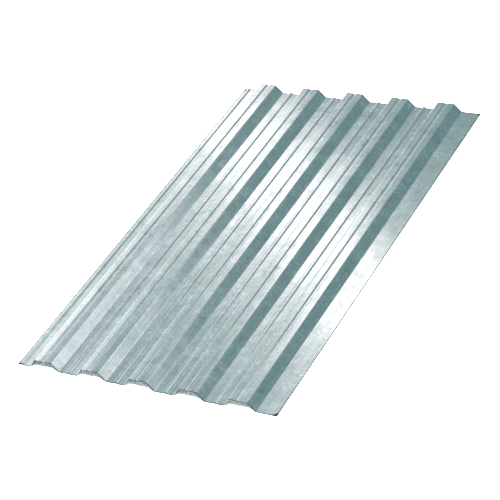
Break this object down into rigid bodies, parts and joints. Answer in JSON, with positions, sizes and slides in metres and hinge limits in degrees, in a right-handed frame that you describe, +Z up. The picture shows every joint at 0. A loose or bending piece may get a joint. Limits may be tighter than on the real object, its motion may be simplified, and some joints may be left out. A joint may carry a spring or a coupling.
{
  "type": "profiled metal sheet",
  "caption": "Trapezoidal ribbed sheet of thin galvanised steel, with grooved crests, ridged pans and a side lap along each long edge, for roofs, walls and fences.",
  "frame": {"origin": "middle of the floor face of the sheet's box, as it lies flat with its ribs up", "axes": "+X across the ribs, from the ridged lap to the plain lap; +Y along the ribs; +Z up"},
  "size_m": [1.06, 1.75, 0.035],
  "materials": {
    "galvanised_steel": "hot-dip zinc with a small bright spangle, faintly lined along the ribs by the rolls"
  },
  "bodies": {
    "root": {"profiled_sheet": "galvanised_steel"}
  },
  "joints": []
}
